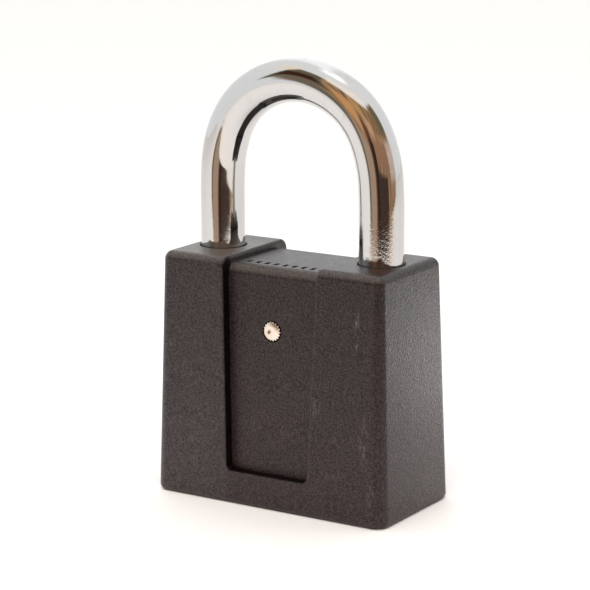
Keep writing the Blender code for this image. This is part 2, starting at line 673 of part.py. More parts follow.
def build():
    clear_scene()
    leg_bores = add_leg_bores()
    pin_hole = add_pin_hole()
    build_jacket(leg_bores)
    build_lock_body(leg_bores, pin_hole)
    build_bottom_cover()
    build_retaining_pin()
    build_shackle()
    build_shackle_spring()
    build_balls()
    build_cylinder_housing(pin_hole)
    build_core_retaining_ring()

    # The rest turns with the key, about the cylinder's axis
    core = add_axis("core_axis", (0, 0, 0))
    keyway = add_keyway()
    build_ball_cam(core)
    build_thrust_washer(core)
    build_disc_core(core)
    build_sidebar(core)
    build_keyway_plate(core, keyway)
    build_disc_stack(core, keyway)


build()
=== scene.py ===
"""The looks of a disc padlock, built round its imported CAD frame.

The lock stands on z = 0, centred on the Z axis: its front faces -Y, the heel leg of the
shackle is on the left (-X) and the toe leg on the right (+X). The shells, the shackle, the
pin and the pieces under the case are rebuilt with fine surfaces; the other CAD nodes stay
and get their finish here. Lengths are millimetres unless a comment says metres.
"""

import math

import bmesh
import bpy
from mathutils import Matrix, Vector


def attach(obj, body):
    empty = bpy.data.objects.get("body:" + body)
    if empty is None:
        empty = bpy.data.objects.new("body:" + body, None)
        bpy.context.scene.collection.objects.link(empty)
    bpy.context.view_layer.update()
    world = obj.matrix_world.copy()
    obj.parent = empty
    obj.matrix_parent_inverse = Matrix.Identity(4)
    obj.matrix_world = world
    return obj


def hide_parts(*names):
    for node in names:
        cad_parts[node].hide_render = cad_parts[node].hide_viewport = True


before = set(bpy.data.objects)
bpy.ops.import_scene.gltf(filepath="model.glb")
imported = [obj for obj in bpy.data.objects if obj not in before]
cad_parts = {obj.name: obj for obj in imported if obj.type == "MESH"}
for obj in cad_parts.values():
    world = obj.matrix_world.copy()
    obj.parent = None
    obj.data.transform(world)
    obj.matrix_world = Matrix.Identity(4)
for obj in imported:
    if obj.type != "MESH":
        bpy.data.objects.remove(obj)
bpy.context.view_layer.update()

MM = 0.001  # millimetres to metres

# ---------------------------------------------------------------- dimensions, as in the CAD
# case
CASE_H = 60.8
CASE_W_TOP, CASE_W_BOTTOM = 62.4, 66.0
CASE_D_TOP, CASE_D_BOTTOM = 28.8, 33.6
CASE_TOP_R, CASE_FOOT_R = 2.1, 1.4
CASE_EDGE_R_TOP, CASE_EDGE_R_BOTTOM = 2.0, 3.4
SIDE_WALL = 1.7
PANEL_DEPTH, PANEL_DROP = 2.7, 1.65
PANEL_EDGE_R = 2.6
FIT = 0.25
WINDOW_Z = 8.4
WINDOW_W_SILL, WINDOW_W_TOP = 23.0, 26.6
# bottom cover and lock body
COVER_T, COVER_HOLE_R = 2.6, 6.3
BODY_Z0, BODY_Z1 = COVER_T + FIT, CASE_H - PANEL_DROP
CORE_BORE_R, CAM_BORE_R = 9.6, 9.1
CORE_BORE_TOP, CAM_BORE_TOP = 47.2, 57.0
# shackle and its balls
BAR_R = 5.5
LEG_X = 22.8
BOW_Z = CASE_H + 19.7
LEG_BORE_R = BAR_R + 0.3
TOE_END_Z, TOE_BORE_Z = 46.5, 45.0
HEEL_END_Z, HEEL_BORE_Z = 24.0, 7.6
NECK_R, NECK_Z0, NECK_Z1 = 3.3, 31.5, 43.0
BALL_R, BALL_Z, BALL_X_LOCKED = 5.2, 52.0, 14.1
BALL_BORE_R = BALL_POCKET_R = BALL_R + 0.2
# keyway plate
PLATE_NOSE_R, PLATE_NOSE_Z0, PLATE_FLANGE_R = 5.9, 0.9, 7.3
PLATE_FLANGE_Z0, PLATE_FLANGE_Z1 = 5.1, 6.45
KEYWAY_R, KEYWAY_FLAT_X = 3.7, 0.9
# screws
SCREW_X, SCREW_R, SCREW_HEAD_R, SCREW_HEAD_H, SCREW_Z1 = 14.0, 1.5, 2.75, 1.45, 11.0
SCREW_PLACES = (("left", -SCREW_X), ("right", SCREW_X))
# retaining pin
PIN_X, PIN_Z, PIN_HEAD_R, PIN_HEAD_T, PIN_SHANK_R, PIN_TIP_Y = -0.5, 43.7, 2.4, 1.2, 1.5, -8.0
PIN_TEETH = 18


def between(bottom, top, z):
    """A size of the case at height z, where it runs evenly from bottom to top."""
    return bottom + (top - bottom) * z / CASE_H


def half_width(z):
    return between(CASE_W_BOTTOM, CASE_W_TOP, z) / 2


def half_depth(z):
    return between(CASE_D_BOTTOM, CASE_D_TOP, z) / 2


PANEL_Y = -(half_depth(PIN_Z) - PANEL_DEPTH)  # the body's front face at the pin


# ---------------------------------------------------------------- mesh helpers
def smooth_mesh(mesh, angle=32):
    mesh.shade_smooth()
    mesh.set_sharp_from_angle(angle=math.radians(angle))
    return mesh


def to_mesh(draft, name):
    bmesh.ops.remove_doubles(draft, verts=draft.verts, dist=1e-7)
    bmesh.ops.recalc_face_normals(draft, faces=draft.faces)
    mesh = bpy.data.meshes.new(name)
    draft.to_mesh(mesh)
    draft.free()
    return smooth_mesh(mesh)


def link(item):
    bpy.context.scene.collection.objects.link(item)
    return item


def add(name, mesh):
    return link(bpy.data.objects.new(name, mesh))


def loft(name, rings):
    """A solid through rings of points, capped at both ends."""
    draft = bmesh.new()
    loops = [[draft.verts.new(Vector(point) * MM) for point in ring] for ring in rings]
    for lower, upper in zip(loops, loops[1:]):
        for i in range(len(lower)):
            j = (i + 1) % len(lower)
            draft.faces.new((lower[i], lower[j], upper[j], upper[i]))
    draft.faces.new(loops[0][::-1])
    draft.faces.new(loops[-1])
    return to_mesh(draft, name)


def turned(name, profile, steps=96, axis="Z", at=(0, 0, 0)):
    """A solid of revolution about Z or Y from a closed (radius, height) outline."""
    draft = bmesh.new()

    def vertex(radius, angle, height):
        first, second = radius * math.cos(angle), radius * math.sin(angle)
        offset = (first, second, height) if axis == "Z" else (first, height, second)
        return draft.verts.new(Vector([base + step for base, step in zip(at, offset)]) * MM)

    rows = []
    for radius, height in profile:
        if radius < 1e-9:
            rows.append([vertex(0.0, 0.0, height)])
        else:
            rows.append([vertex(radius, 2 * math.pi * i / steps, height) for i in range(steps)])
    for row, following in zip(rows, rows[1:] + rows[:1]):
        if len(row) == 1 and len(following) == 1:
            continue
        for i in range(steps):
            j = (i + 1) % steps
            if len(row) == 1:
                draft.faces.new((row[0], following[j], following[i]))
            elif len(following) == 1:
                draft.faces.new((row[i], row[j], following[0]))
            else:
                draft.faces.new((row[i], row[j], following[j], following[i]))
    return to_mesh(draft, name)


def sine(degrees):
    return math.sin(math.radians(degrees))


def cosine(degrees):
    return math.cos(math.radians(degrees))


def circle(radius, count):
    return [(radius * math.cos(2 * math.pi * i / count),
             radius * math.sin(2 * math.pi * i / count)) for i in range(count)]


def rounded_rectangle(half_x, half_y, radius, steps=10):
    points = []
    for quarter, (side_x, side_y) in enumerate(((1, 1), (-1, 1), (-1, -1), (1, -1))):
        centre_x, centre_y = side_x * (half_x - radius), side_y * (half_y - radius)
        for i in range(steps + 1):
            angle = math.pi / 2 * (quarter + i / steps)
            points.append((centre_x + radius * math.cos(angle),
                           centre_y + radius * math.sin(angle)))
    return points


def tapered_block(name, z0, z1, inset_x, inset_y, top_r, foot_r=0.0, corner=None, steps=10):
    """A block that leans with the case, inset from it; corner=None takes the case's radii."""
    turns = [math.pi / 2 * i / steps for i in range(steps + 1)]
    levels = [(z0, 0.0)]  # (height, inset)
    if foot_r:
        levels = [(z0 + foot_r * (1 - math.cos(turn)), foot_r * (1 - math.sin(turn)))
                  for turn in turns]
    levels += [(z1 - top_r * (1 - math.sin(turn)), top_r * (1 - math.cos(turn)))
               for turn in turns]
    rings = []
    for z, inset in levels:
        edge = between(CASE_EDGE_R_BOTTOM, CASE_EDGE_R_TOP, z) if corner is None else corner
        outline = rounded_rectangle(half_width(z) - inset_x - inset,
                                    half_depth(z) - inset_y - inset, max(0.3, edge - inset))
        rings.append([(x, y, z) for x, y in outline])
    return loft(name, rings)


def extruded(name, outline, z0, z1):
    return loft(name, [[(x, y, z) for x, y in outline] for z in (z0, z1)])


def eased_rim(radius, ease):
    """Profile points that round a hole's rim at height 0 into its wall."""
    return [(radius + ease - ease * sine(angle), ease - ease * cosine(angle))
            for angle in (22, 45, 68, 90)]


CUTTERS = []


def cut(target, mesh):
    cutter = add(mesh.name + "_tool", mesh)
    cutter.hide_render = True
    CUTTERS.append(cutter)
    modifier = target.modifiers.new(mesh.name, "BOOLEAN")
    modifier.operation = "DIFFERENCE"
    modifier.solver = "EXACT"
    modifier.object = cutter


def bake(item):
    """The item's mesh with its modifiers applied; the modifiers are cleared."""
    graph = bpy.context.evaluated_depsgraph_get()
    made = bpy.data.meshes.new_from_object(item.evaluated_get(graph), depsgraph=graph)
    item.modifiers.clear()
    return made


def round_rim(item, low_width, top_width, segments):
    """Rounds the sharp edges of a shell, more at the top of the case than lower down."""
    grow_from, grow_over = CASE_H - 4.0, 3.6
    made = bake(item)
    draft = bmesh.new()
    draft.from_mesh(made)
    bmesh.ops.remove_doubles(draft, verts=draft.verts, dist=1e-7)
    layers = draft.edges.layers.float
    layer = layers.get("bevel_weight_edge") or layers.new("bevel_weight_edge")
    for edge in draft.edges:
        if len(edge.link_faces) == 2 and edge.calc_face_angle() > math.radians(40):
            z = (edge.verts[0].co.z + edge.verts[1].co.z) / 2 / MM
            share = min(1.0, max(0.0, (z - grow_from) / grow_over))
            edge[layer] = (low_width + (top_width - low_width) * share) / top_width
    draft.to_mesh(made)
    draft.free()
    item.data = made
    modifier = item.modifiers.new("edges", "BEVEL")
    modifier.width = top_width * MM
    modifier.segments = segments
    modifier.limit_method = "WEIGHT"
    modifier.use_clamp_overlap = False
    modifier.miter_outer = "MITER_ARC"


def settle(item, angle):
    """Applies the modifiers, tidies the mesh and sets normals so that flat faces read flat."""
    made = bake(item)
    draft = bmesh.new()
    draft.from_mesh(made)
    bmesh.ops.remove_doubles(draft, verts=draft.verts, dist=2e-7)
    bmesh.ops.dissolve_degenerate(draft, edges=draft.edges, dist=1e-7)
    draft.to_mesh(made)
    draft.free()
    made.name = item.name
    item.data = smooth_mesh(made, angle)
    weighted = item.modifiers.new("face_weighted", "WEIGHTED_NORMAL")
    weighted.keep_sharp = True
    weighted.weight = 100


def finish_piece(item, body, slot, node, angle=32):
    """Settles a piece and hands it over in place of a CAD node; slot also names its finish."""
    settle(item, angle)
    item.data.materials.clear()
    item.data.materials.append(finishes[slot])
    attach(item, body)
    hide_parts(node)


# ---------------------------------------------------------------- shader helpers
class Value:
    """A node's output; arithmetic on it adds Math nodes."""

    def __init__(self, shade, socket):
        self.shade, self.socket = shade, socket

    def __add__(self, other):
        return self.shade.calc("ADD", self, other)

    def __radd__(self, other):
        return self.shade.calc("ADD", other, self)

    def __sub__(self, other):
        return self.shade.calc("SUBTRACT", self, other)

    def __rsub__(self, other):
        return self.shade.calc("SUBTRACT", other, self)

    def __mul__(self, other):
        return self.shade.calc("MULTIPLY", self, other)

    def __truediv__(self, other):
        return self.shade.calc("DIVIDE", self, other)

    def __abs__(self):
        return self.shade.calc("ABSOLUTE", self)


class Shade:
    """Short names for building a node tree."""

    def __init__(self, tree):
        tree.nodes.clear()
        self.tree = tree

    def feed(self, socket, value):
        if isinstance(value, Value):
            self.tree.links.new(value.socket, socket)
        elif socket.type == "RGBA" and len(value) == 3:
            socket.default_value = (*value, 1.0)
        else:
            socket.default_value = value

    def set(self, node, inputs):
        for key, value in inputs.items():
            self.feed(node.inputs[key], value)

    def node(self, kind, inputs=None, **props):
        made = self.tree.nodes.new(kind)
        for key, value in props.items():
            setattr(made, key, value)
        self.set(made, inputs or {})
        return made

    def out(self, kind, inputs=None, socket=0, **props):
        """Adds a node and gives one of its outputs."""
        return Value(self, self.node(kind, inputs, **props).outputs[socket])

    def calc(self, operation, first, second=0.0):
        return self.out("ShaderNodeMath", {0: first, 1: second, 2: 0.0}, operation=operation)

    def dot(self, first, second):
        return self.out("ShaderNodeVectorMath", {0: first, 1: second}, "Value",
                        operation="DOT_PRODUCT")

    def split(self, vector):
        node = self.node("ShaderNodeSeparateXYZ", {0: vector})
        return [Value(self, socket) for socket in node.outputs]

    def step(self, value, low, high, start=0.0, end=1.0):
        """Runs smoothly from start to end as value goes from low to high."""
        return self.out("ShaderNodeMapRange", {0: value, 1: low, 2: high, 3: start, 4: end},
                        interpolation_type="SMOOTHSTEP", clamp=True)

    def mix(self, factor, first, second, blend="MIX"):
        return self.out("ShaderNodeMix", {0: factor, 6: first, 7: second}, 2,
                        data_type="RGBA", blend_type=blend, clamp_factor=True)

    def tint(self, colour, by):
        return self.mix(1.0, colour, by, "MULTIPLY")

    def noise(self, vector, scale, detail, rough):
        return self.out("ShaderNodeTexNoise", {"Vector": vector, "Scale": scale,
                                               "Detail": detail, "Roughness": rough})

    def cells(self, vector, scale, feature="F1"):
        return self.out("ShaderNodeTexVoronoi", {"Vector": vector, "Scale": scale},
                        feature=feature)

    def grid(self, stretch=(1, 1, 1)):
        """Object position in millimetres, stretched."""
        where = self.out("ShaderNodeTexCoord", socket="Object")
        return self.out("ShaderNodeVectorMath",
                        {0: where, 1: tuple(1000.0 * share for share in stretch)},
                        "Vector", operation="MULTIPLY")

    def bump(self, height, distance, strength=1.0):
        return self.out("ShaderNodeBump", {"Height": height, "Distance": distance * MM,
                                           "Strength": strength})


def new_material(name, metallic):
    """A material with its Shade, which holds the shader and the output node."""
    made = bpy.data.materials.new(name)
    made.use_nodes = True
    shade = Shade(made.node_tree)
    shade.shader = shade.node("ShaderNodeBsdfPrincipled", {"Metallic": metallic})
    shade.output = shade.node("ShaderNodeOutputMaterial", {0: Value(shade, shade.shader.outputs[0])})
    return made, shade


def grey(level):
    return (level, level, level)


def scaled(colour, factor):
    return tuple(channel * factor for channel in colour)


# ---------------------------------------------------------------- black coat
def scuff_mask(shade, place, spots):
    """Streaky scuffs on the front faces."""
    x, y, z = place
    total = None
    for spot_x, spot_z, half_wide, half_high, strength in spots:
        across = (x - spot_x) / half_wide
        along = (z - spot_z) / half_high
        spot = shade.step(across * across + along * along, 1.0, 0.0, end=strength)
        total = spot if total is None else shade.calc("MAXIMUM", total, spot)
    streak = shade.noise(shade.grid((1.0, 1.0, 0.35)), scale=1.25, detail=4.0, rough=0.7)
    return total * shade.step(streak, 0.44, 0.68) * shade.step(y, -9.0, -10.5)


def painted_window_shade(shade, place, normal):
    """Painted shade: a mask of the window's left walls, less towards the back, and of its sill, where
    the recess lies in shade.
    """
    x, y, z = place
    wall = shade.step(normal[0], 0.35, 0.85) * shade.step(x, -8.0, -10.0)
    wall = wall * shade.step(y, -12.2, -10.2, start=1.0, end=0.28)
    sill = shade.step(normal[2], 0.35, 0.85) * shade.step(z, 12.0, 10.0)
    return shade.calc("MAXIMUM", wall, sill)


def paint_top_light(shade, colour, place, normal, tone, left):
    """Paints light on the top: greys the flat top left of the window paler, more towards its front,
    and paints a pale highlight on the top's rounded edges.
    """
    y, z = place[1:]
    # painted light: the flat top left of the window is painted paler, most towards its front, where
    # it catches more light
    roof_light = shade.step(normal[2], 0.80, 0.97) * shade.step(z, 60.0, 60.6)
    roof_light = roof_light * left * shade.step(y, 11.0, 3.0, start=0.3, end=1.25)
    roof_light_colour = shade.mix(shade.step(tone, 0.36, 0.64),
                          (0.052, 0.046, 0.042), (0.098, 0.089, 0.082))
    colour = shade.mix(roof_light, colour, roof_light_colour)
    # painted highlight: the rounding along the front and the back of the top, neither upright nor
    # flat, is painted paler where it catches the light
    crown_highlight = shade.step(normal[2], 0.16, 0.55) * shade.step(normal[2], 0.995, 0.90)
    crown_highlight = crown_highlight * shade.step(abs(normal[1]), 0.08, 0.30) * shade.step(z, 54.0, 56.0)
    amount = crown_highlight * shade.step(tone, 0.30, 0.60, start=0.35, end=0.75)
    return shade.mix(amount, colour, (0.078, 0.066, 0.063))


def painted_flank_light(shade, place, normal):
    """Painted light and shade: a factor that darkens the right side towards its front edge and its
    top and brightens it towards its back and bottom, as its lighting does.
    """
    x, y, z = place
    flank = shade.step(normal[0], 0.85, 0.96) * shade.step(x, 20.0, 26.0)
    flank_light = (shade.step(y, -15.0, 13.0, start=0.80, end=1.12)
            * shade.step(z, 58.0, 6.0, start=0.96, end=1.13))
    return 1.0 + flank * (flank_light - 1.0)


def edge_mask(shade, normal, mid):
    """Patchy rubbing where the surface turns within a small radius."""
    rounded = shade.out("ShaderNodeBevel", {"Radius": 0.55 * MM}, samples=4)
    turn = 1.0 - shade.dot(normal, rounded)
    return shade.step(turn, 0.015, 0.13) * shade.step(mid, 0.38, 0.66)


def coat(name, base, worn, spots=(), grain=1.0):
    """Fine-textured black coat: grain, faint mottling, rubbed edges and a few scuffs, with painted
    light and shade on its top, its right side, its lower part and in the window.

    spots: (x, z, half width, half height, strength) on the front faces.
    """
    made, shade = new_material(name, metallic=0.0)
    at = shade.grid()
    # textures from fine grain to broad blotches
    fine = shade.noise(at, scale=1.9, detail=3.0, rough=0.65)
    speck = shade.noise(at, scale=2.6, detail=1.0, rough=0.5)
    grit = shade.cells(at, scale=1.75)
    mid = shade.noise(at, scale=0.42, detail=3.0, rough=0.6)
    broad = shade.noise(at, scale=0.055, detail=2.0, rough=0.5)
    place = x, _, z = shade.split(at)
    # the coat is a shade paler on the left of the window
    left = shade.step(x, -9.0, -13.0) * 0.8
    paler = tuple(channel * lift for channel, lift in zip(base, (1.55, 2.05, 2.15)))
    base_colour = shade.mix(left, base, paler)
    # grain and mottling
    tone = fine * 0.5 + speck * 0.5
    colour = shade.mix(shade.step(tone, 0.38, 0.62), grey(0.60), grey(1.42))
    mottle = shade.mix(shade.step(mid, 0.36, 0.64), grey(0.84), grey(1.16))
    colour = shade.tint(shade.tint(colour, mottle), base_colour)
    # painted light: paler towards the bottom and darker towards the top, standing in for the brighter
    # near floor reflected low on the faces
    low = shade.step(z, 62.0, 4.0)
    colour = shade.tint(colour, shade.mix(low, (0.80, 0.80, 0.82), grey(1.28)))
    # dust caught in the grain
    specks = shade.noise(at, scale=1.3, detail=2.0, rough=0.7)
    colour = shade.mix(shade.step(specks, 0.63, 0.74) * 0.35, colour, scaled(base, 2.4))
    # painted shade: the window's left walls and its sill are painted near black, and their specular
    # is cut, where the recess lies in shade
    here = shade.out("ShaderNodeNewGeometry", socket="Normal")
    normal = shade.split(here)
    window_shade = painted_window_shade(shade, place, normal)
    colour = shade.mix(window_shade * 0.88, colour, (0.0015, 0.0012, 0.0012))
    # painted light on the flat top and painted highlights on its rounded edges
    colour = paint_top_light(shade, colour, place, normal, tone, left)
    # painted light and shade on the right side, in its colour and its specular
    flank_light = painted_flank_light(shade, place, normal)
    colour = shade.tint(colour, flank_light)
    colour = shade.mix(edge_mask(shade, here, mid) * 0.5, colour, worn)
    if spots:
        colour = shade.mix(scuff_mask(shade, place, spots), colour, scaled(worn, 1.5))
    roughness = 0.29 + mid * 0.14 + broad * 0.06
    height = fine * 0.75 + grit * -0.45 + mid * 0.5
    # pits in the coat reflect less than its high spots
    shine = shade.step(tone, 0.36, 0.64, start=0.31, end=0.60) * flank_light
    shade.set(shade.shader, {
        "Base Color": colour, "Roughness": roughness,
        "Normal": shade.bump(height, distance=0.10 * grain),
        "Specular IOR Level": shine * (1.0 - window_shade * 0.85), "IOR": 1.47})
    return made


# ---------------------------------------------------------------- metals
def metal(name, base, rough, spread, scale, stretch=(1, 1, 1), relief=0.01, stain=0.82,
          dimple=None):
    """Bare or plated metal: brushed grain, uneven polish and faint staining.

    spread: how far the roughness strays; dimple: (x, z, radius) of a spot darkened with painted
    shade, where the pin head's dimple lies in shade.
    """
    stain_tint = (0.9, 0.85, 0.8)
    made, shade = new_material(name, metallic=1.0)
    at = shade.grid(stretch)
    brush = shade.noise(at, scale=2.2 * scale, detail=4.0, rough=0.65)
    blot = shade.noise(shade.grid(), scale=0.12, detail=3.0, rough=0.55)
    nick = shade.cells(shade.grid(), 0.9 * scale, "DISTANCE_TO_EDGE")
    stained = tuple(channel * stain * tint for channel, tint in zip(base, stain_tint))
    bright = tuple(min(1.0, channel * 1.12) for channel in base)
    colour = shade.mix(shade.step(blot, 0.35, 0.75), stained, base)
    colour = shade.mix(shade.step(brush, 0.5, 0.8) * 0.25, colour, bright)
    # painted shade: the dimple's spot is painted dark
    if dimple:
        dimple_x, dimple_z, dimple_r = dimple
        x, _, z = shade.split(shade.grid())
        across, along = x - dimple_x, z - dimple_z
        far = shade.calc("SQRT", across * across + along * along)
        dimple_shade = shade.step(far, dimple_r, dimple_r * 0.5, end=0.75)
        colour = shade.mix(dimple_shade, colour, (0.16, 0.145, 0.125))
    roughness = (rough + (brush - 0.5) * spread
                 + shade.step(blot, 0.5, 0.2) * (spread * 0.5))
    height = brush + shade.step(nick, 0.0, 0.05) * 0.25
    shade.set(shade.shader, {"Base Color": colour, "Roughness": roughness,
                             "Normal": shade.bump(height, relief, strength=0.7)})
    return made


def chrome_finish(name):
    """Polished chrome plate: clear reflections, a slight ripple, hairlines and dull rubs."""
    made, shade = new_material(name, metallic=1.0)
    at = shade.grid()
    ripple = shade.noise(at, scale=0.16, detail=2.0, rough=0.5)
    pebble = shade.noise(at, scale=0.9, detail=2.0, rough=0.5)
    hair = shade.noise(shade.grid((1.0, 1.0, 0.12)), scale=3.4, detail=3.0, rough=0.7)
    rub = shade.step(shade.noise(at, scale=0.22, detail=4.0, rough=0.65), 0.56, 0.70)
    colour = shade.mix(rub, grey(0.555), (0.515, 0.51, 0.505))
    colour = shade.mix(shade.step(pebble, 0.55, 0.75) * 0.18, colour, (0.64, 0.635, 0.63))
    roughness = 0.055 + rub * 0.07 + shade.step(hair, 0.55, 0.8) * 0.06
    height = ripple * 0.8 + pebble * 0.12 + hair * 0.012
    # the plate is crinkled low on the legs, most of all on the toe leg
    x, _, z = shade.split(at)
    worn = shade.step(z, 81.0, 66.0) * shade.step(x, 8.0, 14.0, start=0.28)
    crinkle = shade.noise(shade.grid((1.0, 1.0, 0.5)), scale=2.9, detail=2.5, rough=0.65)
    height = height + crinkle * worn * 1.9
    shade.set(shade.shader, {"Base Color": colour, "Roughness": roughness,
                             "Normal": shade.bump(height, distance=0.016)})
    return made


# ---------------------------------------------------------------- finishes
# scuffs: x, z, half width, half height, strength
CASE_SCUFFS = (
    (-28.3, 38.0, 1.6, 1.1, 0.35), (-21.6, 14.3, 2.2, 1.4, 0.30),
    (25.0, 47.0, 0.8, 6.5, 0.80), (27.4, 21.0, 1.8, 8.0, 0.45), (29.4, 9.0, 1.4, 4.5, 0.35),
    (13.8, 27.0, 1.2, 3.2, 0.60), (-15.5, 52.0, 1.8, 3.0, 0.15), (19.0, 12.0, 4.0, 2.0, 0.18),
)
BODY_SCUFFS = (
    (10.5, 28.6, 1.6, 2.2, 0.25), (-6.0, 20.0, 3.5, 1.6, 0.15), (4.0, 48.0, 3.0, 1.4, 0.12),
)
LENGTHWISE = {"stretch": (0.2, 0.2, 2.0)}
PIN_FINISH = {"relief": 0.014, "stain": 0.88, "dimple": (PIN_X - 0.62, PIN_Z - 0.05, 0.55)}
# name, colour, roughness, its spread, grain scale, other settings of metal()
METALS = (
    ("pin_copper", (0.86, 0.765, 0.69), 0.16, 0.12, 1.6, PIN_FINISH),
    ("screw_steel", (0.34, 0.34, 0.35), 0.34, 0.14, 1.4, {}),
    ("plate_steel", (0.52, 0.52, 0.54), 0.26, 0.12, 1.2, {}),
    ("housing_brass", (0.72, 0.54, 0.26), 0.30, 0.12, 1.0, LENGTHWISE),
    ("drum_brass", (0.76, 0.58, 0.30), 0.28, 0.12, 1.0, LENGTHWISE),
    ("disc_brass", (0.80, 0.62, 0.32), 0.30, 0.14, 1.2, {}),
    ("spacer_steel", (0.56, 0.56, 0.57), 0.34, 0.12, 1.2, {}),
    ("hard_steel", (0.64, 0.64, 0.66), 0.12, 0.06, 1.0, {"relief": 0.002}),
    ("cam_steel", (0.46, 0.46, 0.48), 0.36, 0.16, 1.4, {"relief": 0.015}),
    ("spring_steel", (0.42, 0.42, 0.44), 0.30, 0.12, 1.6, {}),
)
finishes = {
    "case_black": coat("case_black", base=(0.0160, 0.0090, 0.0092),
                       worn=(0.10, 0.088, 0.084), spots=CASE_SCUFFS),
    "body_black": coat("body_black", base=(0.0155, 0.0085, 0.0087),
                       worn=(0.16, 0.145, 0.14), spots=BODY_SCUFFS),
    "cover_black": coat("cover_black", base=(0.015, 0.013, 0.0125),
                        worn=(0.10, 0.09, 0.088), grain=1.1),
    "chrome": chrome_finish("chrome"),
}
for name, base, rough, spread, scale, others in METALS:
    finishes[name] = metal(name, base, rough, spread, scale, **others)


# ---------------------------------------------------------------- jacket
def leg_bore(name, x, floor_z, lip_z, lip=0.45):
    """A leg's bore with a rounded lip where it opens at lip_z."""
    wide = LEG_BORE_R + lip
    profile = [(0, floor_z), (LEG_BORE_R, floor_z), (LEG_BORE_R, lip_z - lip)]
    profile += [(wide - lip * cosine(angle), lip_z - lip + lip * sine(angle))
                for angle in (18, 36, 54, 72)]
    profile += [(wide, lip_z + 0.02), (wide, lip_z + 12), (0, lip_z + 12)]
    return turned(name, profile, at=(x, 0, 0))


def window_cutter():
    """The window's outline, leaning with the case, with small radii in its lower corners."""
    corner, over_top, reach_y = 1.3, 5, 30.0
    lean = (WINDOW_W_TOP - WINDOW_W_SILL) / 2 / (CASE_H - WINDOW_Z)
    centre_x = WINDOW_W_SILL / 2 - corner
    outline = [(WINDOW_W_TOP / 2 + over_top * lean, CASE_H + over_top)]
    outline += [(centre_x + corner * cosine(angle) + lean * corner * (1 - abs(angle) / 90),
                 WINDOW_Z + corner + corner * sine(angle)) for angle in range(0, -91, -15)]
    outline += [(-x, z) for x, z in reversed(outline)]
    return loft("window", [[(x, y, z) for x, z in outline] for y in (-reach_y, reach_y)])


def build_jacket():
    item = add("jacket_shell", tapered_block(
        "jacket_shell", 0.0, CASE_H, inset_x=0, inset_y=0, top_r=CASE_TOP_R, foot_r=CASE_FOOT_R))
    cut(item, window_cutter())
    round_rim(item, low_width=0.42, top_width=0.95, segments=5)
    cut(item, tapered_block("cavity", -1.0, BODY_Z1 + 0.05, inset_x=SIDE_WALL,
                            inset_y=PANEL_DEPTH - 0.06, top_r=PANEL_EDGE_R, corner=1.2))
    cut(item, leg_bore("toe_hole", LEG_X, 30, CASE_H))
    cut(item, leg_bore("heel_hole", -LEG_X, 5, CASE_H))
    finish_piece(item, "case", "case_black", "jacket")
    return item


jacket = build_jacket()


# ---------------------------------------------------------------- lock body
def pin_hole():
    """The stepped hole for the pin, with an eased rim, sunk from the body's front face."""
    ease, head_r, shank_r = 0.12, PIN_HEAD_R + 0.3, PIN_SHANK_R + 0.2
    profile = [(0, -3.0), (head_r + 0.14, -3.0), (head_r + 0.14, -0.02)]
    profile += eased_rim(head_r, ease)
    profile += [(head_r, PIN_HEAD_T + 0.2), (shank_r, PIN_HEAD_T + 0.2),
                (shank_r, 4.6), (0, 4.6)]
    return turned("pin_hole", profile, 72, "Y", at=(PIN_X, PANEL_Y, PIN_Z))


def notch_row():
    """A plain row of nine equal notches in the top face, near its front edge."""
    count, pitch, first_x, row_y = 9, 2.6, -10.0, -7.4
    half_x, half_y = 0.62, 1.1
    # height, share of half_x, share of half_y at the notch's floor and mouth
    levels = ((BODY_Z1 - 0.7, 0.7, 0.8), (BODY_Z1 + 0.10, 1.1, 1.08))
    draft = bmesh.new()
    for i in range(count):
        low, high = [
            [draft.verts.new(Vector((first_x + i * pitch + side_x * half_x * share_x,
                                     row_y + side_y * half_y * share_y, z)) * MM)
             for side_x, side_y in ((-1, -1), (1, -1), (1, 1), (-1, 1))]
            for z, share_x, share_y in levels]
        draft.faces.new(low[::-1])
        draft.faces.new(high)
        for k in range(4):
            j = (k + 1) % 4
            draft.faces.new((low[k], low[j], high[j], high[k]))
    return to_mesh(draft, "notch_row")


def build_body():
    item = add("lock_body_block", tapered_block(
        "lock_body_block", BODY_Z0, BODY_Z1, inset_x=SIDE_WALL + FIT, inset_y=PANEL_DEPTH,
        top_r=PANEL_EDGE_R, corner=1.0))
    cut(item, turned("core_bore", [
        (0, BODY_Z0 - 2), (CORE_BORE_R, BODY_Z0 - 2), (CORE_BORE_R, CORE_BORE_TOP),
        (CAM_BORE_R, CORE_BORE_TOP), (CAM_BORE_R, CAM_BORE_TOP), (0, CAM_BORE_TOP)]))
    cut(item, loft("ball_bore", [
        [(x, BALL_BORE_R * across, BALL_Z + BALL_BORE_R * rise) for across, rise in circle(1.0, 64)]
        for x in (-LEG_X + 2.0, LEG_X - 2.0)]))
    cut(item, leg_bore("toe_bore", LEG_X, TOE_BORE_Z, BODY_Z1, lip=0.3))
    cut(item, leg_bore("heel_bore", -LEG_X, HEEL_BORE_Z, BODY_Z1, lip=0.3))
    tapped_r, tapped_top = SCREW_R + 0.2, SCREW_Z1 + 1.5
    tapped = [(0, 0), (tapped_r, 0), (tapped_r, tapped_top), (0, tapped_top)]
    for side, x in SCREW_PLACES:
        cut(item, turned(f"{side}_tapped", tapped, 40, at=(x, 0, 0)))
    cut(item, pin_hole())
    cut(item, notch_row())
    finish_piece(item, "case", "body_black", "lock_body")


build_body()

# ---------------------------------------------------------------- shackle
END_R = 0.9  # rounding of the legs' ends
NECK_FLARE, NECK_EDGE = 0.6, 0.3
BOW_STEPS, BAR_SIDES = 132, 96
# the bar shifts inwards by up to SHOULDER: over the rise above SHOULDER_Z, back over the fall
SHOULDER, SHOULDER_Z, SHOULDER_RISE, SHOULDER_FALL = 0.50, 74.2, 12.2, 13.0


def eased(z, start, length):
    share = min(1.0, max(0.0, (z - start) / length))
    return share * share * (3 - 2 * share)


